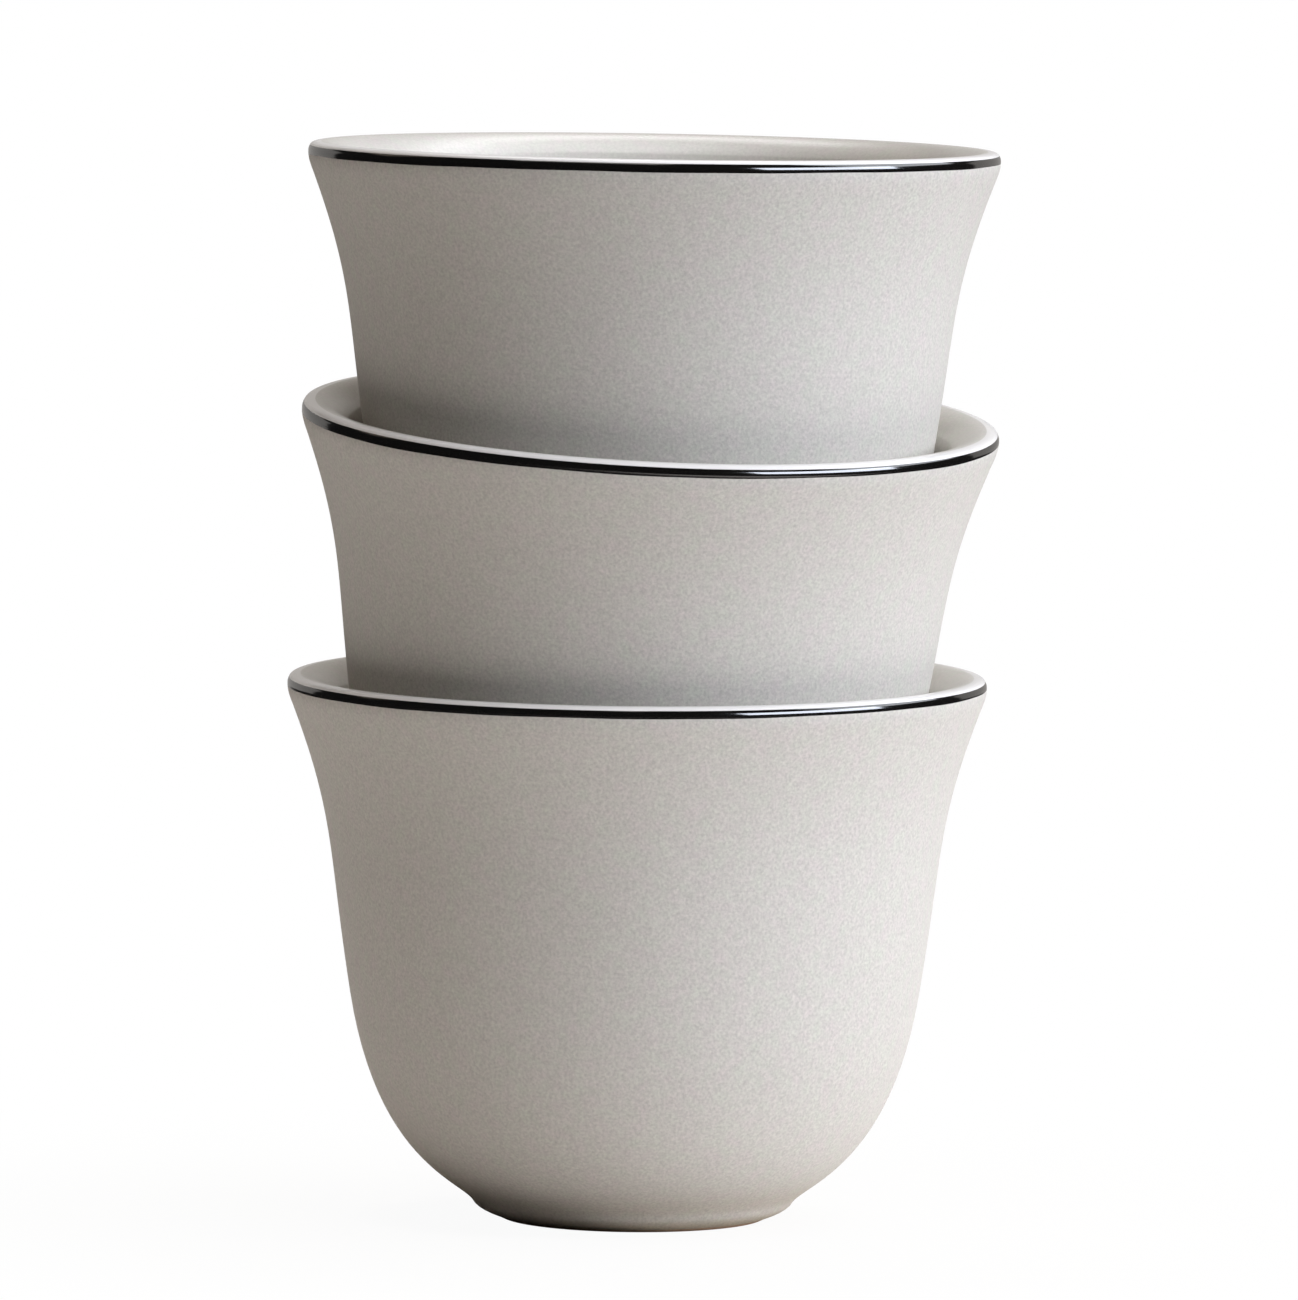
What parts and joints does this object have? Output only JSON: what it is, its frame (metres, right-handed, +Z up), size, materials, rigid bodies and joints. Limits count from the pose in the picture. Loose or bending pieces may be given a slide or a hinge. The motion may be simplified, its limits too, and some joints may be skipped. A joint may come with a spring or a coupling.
{
  "type": "arabic coffee cup",
  "caption": "Nested stack of small handleless coffee cups with flared walls, low foot rings, a matt outside, a smoother satin inside and a black rim band; the upper cups lift off.",
  "frame": {"origin": "centre of the foot ring of the bottom cup, on the surface that the stack stands on", "axes": "+Z up along the bottom cup's axis, -Y towards the front, from where the middle cup leans forward and to the right"},
  "size_m": [0.0663, 0.0662, 0.101],
  "materials": {
    "fired_clay": "bare fired stoneware, pinkish, dry and slightly sandy",
    "matt_glaze": "matt warm grey stone glaze with a fine even speckle",
    "black_enamel": "gloss black enamel band, laid on by hand",
    "satin_glaze": "the same glaze poured smoother, satin over the lip and inside"
  },
  "bodies": {
    "bottom_cup": {"bottom_cup_clay": "fired_clay", "bottom_cup_outer_glaze": "matt_glaze", "bottom_cup_rim_band": "black_enamel", "bottom_cup_inner_glaze": "satin_glaze"},
    "middle_cup": {"middle_cup_clay": "fired_clay", "middle_cup_outer_glaze": "matt_glaze", "middle_cup_rim_band": "black_enamel", "middle_cup_inner_glaze": "satin_glaze"},
    "top_cup": {"top_cup_clay": "fired_clay", "top_cup_outer_glaze": "matt_glaze", "top_cup_rim_band": "black_enamel", "top_cup_inner_glaze": "satin_glaze"}
  },
  "joints": [
    {"name": "middle_cup_lift", "type": "slide", "parent": "bottom_cup", "child": "middle_cup", "axis": [0, 0, 1], "range_m": [0, 0.045]},
    {"name": "top_cup_lift", "type": "slide", "parent": "middle_cup", "child": "top_cup", "axis": [0, 0, 1], "range_m": [0, 0.045]}
  ]
}
